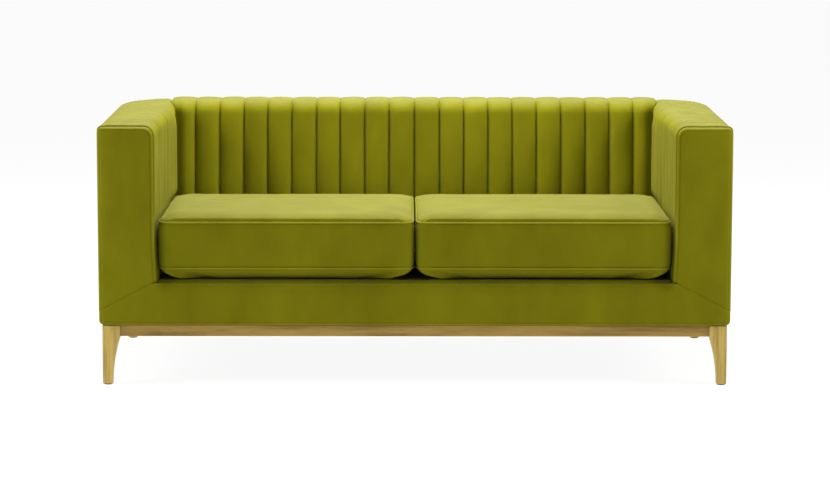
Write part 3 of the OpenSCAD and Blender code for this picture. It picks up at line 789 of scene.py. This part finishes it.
SEAM_LOW, SEAM_HIGH = 0.033, 0.160  # a cushion's seams, above the deck
PIPING = 0.0027  # radius of the piping
PIPING_OUT = 0.0016  # how far its centre lies outside the seam
VOXEL = 0.0065
SIM_FRAMES = 20
START_IN = 0.0022  # the cushion starts this much smaller than its space, and swells
LOWER_IN, UPPER_IN = (0.044, 0.007), (0.07, 0.05)  # how far in its panels start, along x and y
MAX_SWELL = 0.024
CLEAR = 0.0003  # kept free inside the CAD cover's box
PLAN_ROUND = 0.028
CROWN = 0.0265  # how far the top stands above the upper seam at its fullest
CROWN_ROLL_X, CROWN_ROLL_Y = 0.055, 0.040  # how far in from its edges it rolls down
CROWN_LOST = 0.70  # share of the crown that is gone at the back
CROWN_SHARE = 0.85  # share of the top's height that the crown sets; the rest is simulated
LOWER_STRETCH = 1.15


def cushion_ring(x0, x1, y0, y1, radius, steps=7):
    """A rectangle in plan with rounded corners."""
    ring = []
    for k, (cx, cy) in enumerate([(x1, y1), (x0, y1), (x0, y0), (x1, y0)]):
        mx = cx - radius if cx == x1 else cx + radius
        my = cy - radius if cy == y1 else cy + radius
        for j in range(steps + 1):
            a = math.pi / 2 * (k + j / steps)
            ring.append((mx + radius * math.cos(a), my + radius * math.sin(a)))
    return ring


def cushion_start():
    """The right-hand cushion's starting form: crowned panels on a straight boxing."""
    lo, hi = CUSHION
    deck_z = lo.z - 0.0005
    z_low, z_high = deck_z + SEAM_LOW, deck_z + SEAM_HIGH
    levels = []
    for k in range(7):
        a = math.pi / 2 * k / 6
        levels.append((z_low - (z_low - lo.z - 0.002) * math.cos(a), 1 - math.sin(a), *LOWER_IN))
    for k in range(1, 6):
        levels.append((z_low + (z_high - z_low) * k / 6, 0, 0, 0))
    for k in range(7):
        a = math.pi / 2 * k / 6
        levels.append((z_high + (hi.z - z_high) * math.sin(a), 1 - math.cos(a), *UPPER_IN))
    x0, x1 = lo.x + START_IN, hi.x - START_IN
    y0, y1 = lo.y + START_IN, hi.y - START_IN
    verts, count = [], 0
    for z, share, run_x, run_y in levels:
        dx, dy = share * run_x, share * run_y
        ring = cushion_ring(x0 + dx, x1 - dx, y0 + dy, y1 - dy, PLAN_ROUND)
        count = len(ring)
        verts += [(x, y, z) for x, y in ring]
    faces = grid_faces(len(levels), count, 0, closed=True)
    faces += [tuple(range(count))[::-1], tuple(range(len(verts) - count, len(verts)))]
    return verts, faces, z_low, z_high


def swell(work, z_low, z_high):
    """Inflates the cushion by cloth simulation, with its two seams held."""
    lo, hi = CUSHION
    mesh = work.data
    seam = work.vertex_groups.new(name="seam")
    start = np.array([v.co for v in mesh.vertices])
    rim = np.minimum.reduce([
        start[:, 0] - lo.x, hi.x - start[:, 0], start[:, 1] - lo.y, hi.y - start[:, 1],
    ])
    from_seam = np.minimum(abs(start[:, 2] - z_low), abs(start[:, 2] - z_high))
    held = (rim < 0.03) & (from_seam < VOXEL * 0.8)
    seam.add([int(i) for i in np.flatnonzero(held)], 1.0, "REPLACE")
    cloth_mod = work.modifiers.new("cloth", "CLOTH")
    settings = cloth_mod.settings
    settings.quality = 5
    settings.mass = 0.3
    settings.tension_stiffness = 12
    settings.compression_stiffness = 10
    settings.shear_stiffness = 6
    settings.bending_stiffness = 0.8
    settings.use_pressure = True
    settings.uniform_pressure_force = 4.0
    settings.vertex_group_mass = "seam"
    settings.effector_weights.gravity = 0
    cloth_mod.collision_settings.use_collision = False
    scene = bpy.context.scene
    cloth_mod.point_cache.frame_start = 1
    cloth_mod.point_cache.frame_end = SIM_FRAMES
    for step in range(1, SIM_FRAMES + 1):
        scene.frame_set(step)
    shaped = work.evaluated_get(bpy.context.evaluated_depsgraph_get())
    moved = np.array([v.co for v in shaped.data.vertices])
    scene.frame_set(1)
    work.modifiers.remove(cloth_mod)
    move = moved - start
    length = np.linalg.norm(move, axis=1)[:, None]
    move *= np.minimum(1, MAX_SWELL / np.maximum(length, 1e-9))
    mesh.vertices.foreach_set("co", (start + move).ravel())


def smooth_points(mesh, rounds):
    bm = bmesh.new()
    bm.from_mesh(mesh)
    for _ in range(rounds):
        bmesh.ops.smooth_vert(
            bm, verts=bm.verts, factor=0.5, use_axis_x=True, use_axis_y=True, use_axis_z=True,
        )
    bm.to_mesh(mesh)
    bm.free()


def fit_cushion(points, z_low, z_high, seed):
    """Draws in the cushion's seams, keeps it in its space, and gives it a crown with soft dents."""
    lo, hi = CUSHION
    x, y, z = points.T.copy()
    centre = np.array([(lo.x + hi.x) / 2, (lo.y + hi.y) / 2])
    rim = np.minimum.reduce([x - lo.x, hi.x - x, y - lo.y, hi.y - y])
    for seam_z in (z_low, z_high):
        pinch = 0.0032 * np.exp(-(((z - seam_z) / 0.0075) ** 2)) * np.clip(1 - rim / 0.04, 0, 1)
        away = np.stack([x, y], -1) - centre
        away /= np.linalg.norm(away, axis=1)[:, None]
        x -= away[:, 0] * pinch
        y -= away[:, 1] * pinch
    x = np.clip(x, lo.x + CLEAR, hi.x - CLEAR)
    y = np.clip(y, lo.y - 0.007, hi.y - CLEAR)
    # The crown is fullest just behind the front seam, and falls away towards the back.
    from_side = np.clip(np.minimum(x - lo.x, hi.x - x) / CROWN_ROLL_X, 0, 1)
    from_front = np.clip(np.minimum(y - lo.y + 0.003, hi.y - y) / CROWN_ROLL_Y, 0, 1)
    outside = np.minimum(np.hypot(1 - from_side, 1 - from_front), 1)
    rolled = 0.35 * np.sqrt(1 - outside**2) + 0.65 * np.cos(outside * math.pi / 2)
    backwards = np.clip((y - lo.y - 0.05) / (hi.y - lo.y - 0.05), 0, 1)
    crown = CROWN * rolled * (1 - CROWN_LOST * backwards) * (1 + 0.07 * wave(x, y, 8.5, seed))
    crowned = (1 - CROWN_SHARE) * z + CROWN_SHARE * (z_high + crown)
    z = np.where(z > z_high + 0.001, crowned, z)
    z = np.where(z < z_low, z_low - (z_low - z) * LOWER_STRETCH, z)
    z = np.clip(z, lo.z + CLEAR, hi.z + 0.004)
    # The lower panel bulges at the front, and the front corner fills the space beside the arm.
    y -= 0.0045 * np.exp(-(((z - lo.z - 0.007) / 0.012) ** 2)) * (1 - ramp_up(y, lo.y, lo.y + 0.02))
    x += 0.0045 * ramp_up(x, hi.x - 0.03, hi.x) * (1 - ramp_up(y, lo.y + 0.03, lo.y + 0.13))
    return np.stack([x, y, z], -1)


def seam_line(tree, z, count=260):
    """A closed line round the cushion at height z, on its surface."""
    lo, hi = CUSHION
    ring = np.array(cushion_ring(lo.x - 0.02, hi.x + 0.02, lo.y - 0.02, hi.y + 0.02, PLAN_ROUND + 0.02))
    ring = np.vstack([ring, ring[:1]])
    run = np.r_[0, np.cumsum(np.linalg.norm(np.diff(ring, axis=0), axis=1))]
    at = np.linspace(0, run[-1], count, endpoint=False)
    px, py = np.interp(at, run, ring[:, 0]), np.interp(at, run, ring[:, 1])
    ix = np.clip(px, lo.x + PLAN_ROUND, hi.x - PLAN_ROUND)
    iy = np.clip(py, lo.y + PLAN_ROUND, hi.y - PLAN_ROUND)
    hits = []
    for a, b, c, d in zip(px, py, ix, iy):
        ray = Vector((c - a, d - b, 0)).normalized()
        hit = tree.ray_cast(Vector((a, b, z)), ray)[0]
        if hit is not None:
            hits.append(tuple(hit - ray * PIPING_OUT))
    points = np.array(hits)
    for _ in range(6):
        points = (np.roll(points, 1, 0) + points * 2 + np.roll(points, -1, 0)) / 4
    return points


def cushion(side, sign):
    """A seat cushion, made as the right-hand one and mirrored for the left, with its piping."""
    verts, faces, z_low, z_high = cushion_start()
    body = "cushion_" + side
    piece = add_piece("seat_cushion_" + side, verts, faces, VELVET, body)
    remesh = piece.modifiers.new("remesh", "REMESH")
    remesh.mode = "VOXEL"
    remesh.voxel_size = VOXEL
    depsgraph = bpy.context.evaluated_depsgraph_get()
    even = bpy.data.meshes.new_from_object(piece.evaluated_get(depsgraph))
    piece.modifiers.remove(remesh)
    piece.data = even
    if not even.materials:
        even.materials.append(VELVET)
    swell(piece, z_low, z_high)
    smooth_points(piece.data, 2)
    points = np.array([v.co for v in piece.data.vertices])
    points = fit_cushion(points, z_low, z_high, 0.6 + 0.9 * sign)
    piece.data.vertices.foreach_set("co", points.ravel())
    piece.data.update()
    tree = BVHTree.FromPolygons(
        [Vector(p) for p in points], [tuple(p.vertices) for p in piece.data.polygons]
    )
    lines = {"low": seam_line(tree, z_low), "high": seam_line(tree, z_high)}
    if sign < 0:
        flip = Matrix.Scale(-1, 4, (1, 0, 0))
        piece.data.transform(flip)
        piece.data.flip_normals()
        for line in lines.values():
            line[:, 0] *= -1
    shade_smooth(piece.data)
    finer = piece.modifiers.new("finer", "SUBSURF")
    finer.levels = finer.render_levels = 1
    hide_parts("cushion_cover_" + side, "cushion_foam_" + side)
    for name, line in lines.items():
        tube, tube_faces = tube_loop(line, PIPING)
        add_piece(f"piping_{name}_{side}", tube, tube_faces, HIGHLIGHTED_PIPING_VELVET, body)


# ---- Zips --------------------------------------------------------------------------------------


def box_mesh(low, high):
    corners = [(x, y, z) for x in (low[0], high[0])
               for y in (low[1], high[1]) for z in (low[2], high[2])]
    faces = [(0, 1, 3, 2), (4, 6, 7, 5), (0, 4, 5, 1), (2, 3, 7, 6), (0, 2, 6, 4), (1, 5, 7, 3)]
    return corners, faces


def bevelled(piece, width, segments=3):
    bevel = piece.modifiers.new("rounded", "BEVEL")
    bevel.width = width
    bevel.segments = segments


def zip_tape(side, sign):
    """Two woven tapes, with the coil as a row of rounded teeth between them."""
    lo, hi = ZIP
    middle = (lo.z + hi.z) / 2
    xs = np.linspace(lo.x, hi.x, 140)
    v = np.linspace(0, 1, 9)
    x, t = np.meshgrid(xs, v, indexing="ij")
    z = lo.z + (hi.z - lo.z) * t
    face = lo.y + 0.0009 + 0.0003 * np.sin(x * 900) * np.sin(t * math.pi)
    outer = np.stack([sign * x, face, z], -1)
    inner = np.stack([sign * x, np.full_like(x, lo.y), z], -1)
    tape = shell("zip_tape_" + side, outer, inner, CLOTHS["zip_tape"], "cushion_" + side)
    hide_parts("cushion_zip_" + side)
    pitch, verts, faces = 0.0024, [], []
    count = int((hi.x - lo.x - 0.006) / pitch)
    for k in range(count):
        x0 = lo.x + 0.003 + k * pitch
        shift = 0.0004 if k % 2 else -0.0004
        corners, sides = box_mesh((x0, lo.y + 0.0008, middle - 0.0026 + shift),
                                  (x0 + pitch * 0.66, hi.y - 0.0002, middle + 0.0026 + shift))
        faces += [tuple(i + len(verts) for i in f) for f in sides]
        verts += [(sign * a, b, c) for a, b, c in corners]
    teeth = add_piece("zip_coil_" + side, verts, faces, COIL_NYLON, "cushion_" + side)
    bevelled(teeth, 0.0004, 2)


def zip_slider(side, sign):
    """A slider with waisted plates, a bridge and a pull with a rounded end."""
    lo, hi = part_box("zip_slider_right")
    x_mid, z_mid = (lo.x + hi.x) / 2, (ZIP[0].z + ZIP[1].z) / 2
    half_l, half_h = (hi.x - lo.x) / 2, 0.0053
    outline = []
    for k in range(24):
        a = 2 * math.pi * k / 24
        waist = 1 - 0.22 * abs(math.cos(a)) ** 3
        outline.append((half_l * math.cos(a), half_h * waist * math.sin(a)))

    def plate(points, y0, y1):
        count = len(points)
        verts = [(sign * (x_mid + a), y, z_mid + b) for y in (y0, y1) for a, b in points]
        faces = [tuple(range(count)), tuple(range(2 * count - 1, count - 1, -1))]
        faces += [(k, (k + 1) % count, count + (k + 1) % count, count + k) for k in range(count)]
        return verts, faces

    def pull_outline():
        width, top, bottom, r = 0.0029, -0.001, lo.z - z_mid, 0.0029
        arc = [(r * math.cos(a), bottom + r + r * math.sin(a))
               for a in np.linspace(math.pi, 2 * math.pi, 13)]
        return [(-width * 0.7, top), *arc, (width * 0.7, top)]

    y_top = lo.y + 0.0026
    parts = [
        plate(outline, y_top, y_top + 0.0014),
        plate([(a * 0.28, b * 0.45) for a, b in outline], y_top + 0.0012, y_top + 0.0029),
        plate(pull_outline(), hi.y - 0.0015, hi.y),
    ]
    for edge in (-1, 1):
        rail = [(half_l * 0.8 * a, edge * half_h * 0.86 + 0.0007 * b)
                for a, b in ((-1, -1), (1, -1), (1, 1), (-1, 1))]
        parts.append(plate(rail, lo.y, y_top + 0.0003))
    verts, faces = [], []
    for part_verts, part_faces in parts:
        faces += [tuple(i + len(verts) for i in f) for f in part_faces]
        verts += part_verts
    body = "zip_slider_" + side
    slider = add_piece("zip_runner_" + side, verts, faces, METALS["brass"], body)
    bevelled(slider, 0.00035)
    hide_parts("zip_slider_" + side)


# ---- Floor, light and camera -------------------------------------------------------------------

# The camera was fitted to the photo by corners that can be located on the object.
CAMERA_AT = Vector((-0.032, -8.5987, 1.5268))
CAMERA_PITCH = math.radians(7.857)
CAMERA_YAW = math.radians(0.224)
CAMERA_ROLL = math.radians(0.0975)
CAMERA_LENS = 130.43


def make_camera():
    data = bpy.data.cameras.new("camera")
    data.lens = CAMERA_LENS
    data.sensor_width = 36
    data.clip_end = 200
    camera = bpy.data.objects.new("camera", data)
    forward = Vector((
        math.sin(CAMERA_YAW) * math.cos(CAMERA_PITCH),
        math.cos(CAMERA_YAW) * math.cos(CAMERA_PITCH),
        -math.sin(CAMERA_PITCH),
    ))
    level = Vector((math.cos(CAMERA_YAW), -math.sin(CAMERA_YAW), 0))
    above = level.cross(forward)
    right = level * math.cos(CAMERA_ROLL) + above * math.sin(CAMERA_ROLL)
    up = -level * math.sin(CAMERA_ROLL) + above * math.cos(CAMERA_ROLL)
    camera.matrix_world = Matrix((
        (right.x, up.x, -forward.x, CAMERA_AT.x),
        (right.y, up.y, -forward.y, CAMERA_AT.y),
        (right.z, up.z, -forward.z, CAMERA_AT.z),
        (0, 0, 0, 1),
    ))
    bpy.context.scene.collection.objects.link(camera)
    bpy.context.scene.camera = camera


def area_light(name, place, aim, size, power):
    data = bpy.data.lights.new(name, "AREA")
    data.shape = "RECTANGLE"
    data.size, data.size_y = size
    data.energy = power
    light = bpy.data.objects.new(name, data)
    light.location = place
    light.rotation_euler = (Vector(aim) - Vector(place)).to_track_quat("-Z", "Y").to_euler()
    bpy.context.scene.collection.objects.link(light)


def make_stage():
    """A pale floor with a little light of its own, an even world and three soft lights."""
    n = Nodes("pale_floor")
    n.set(Base_Color=(0.14, 0.14, 0.14, 1), Roughness=0.9, Specular_IOR_Level=0.05)
    n.set(Emission_Color=(1, 1, 1, 1), Emission_Strength=0.92)
    half = 60
    verts = [(-half, -half, 0), (half, -half, 0), (half, half, 0), (-half, half, 0)]
    mesh = bpy.data.meshes.new("floor")
    mesh.from_pydata(verts, [], [(0, 1, 2, 3)])
    mesh.materials.append(n.material)
    floor = bpy.data.objects.new("floor", mesh)
    bpy.context.scene.collection.objects.link(floor)
    world = bpy.data.worlds.new("studio")
    world.use_nodes = True
    background = world.node_tree.nodes["Background"]
    background.inputs["Color"].default_value = (1, 1, 1, 1)
    background.inputs["Strength"].default_value = 0.24
    bpy.context.scene.world = world
    bpy.context.scene.view_settings.view_transform = "Standard"
    area_light("overhead", (0, 0.33, 3.0), (0, 0.15, 0), (1.5, 1.2), 178)
    area_light("from_left", (-3.0, -0.9, 1.7), (0, 0.1, 0.5), (1.4, 1.4), 62)
    area_light("from_right", (3.0, -0.9, 1.7), (0, 0.1, 0.5), (1.4, 1.4), 62)


# ---- Make everything ---------------------------------------------------------------------------

make_camera()
make_stage()
dress_cad_nodes()
channelled_back()
for side, sign in SIDES.items():
    channelled_arm(side, sign)
    arm_front(side, sign)
front_border()
deck()
outer_covers()
dust_sheet()
for side, sign in SIDES.items():
    cushion(side, sign)
    zip_tape(side, sign)
    zip_slider(side, sign)
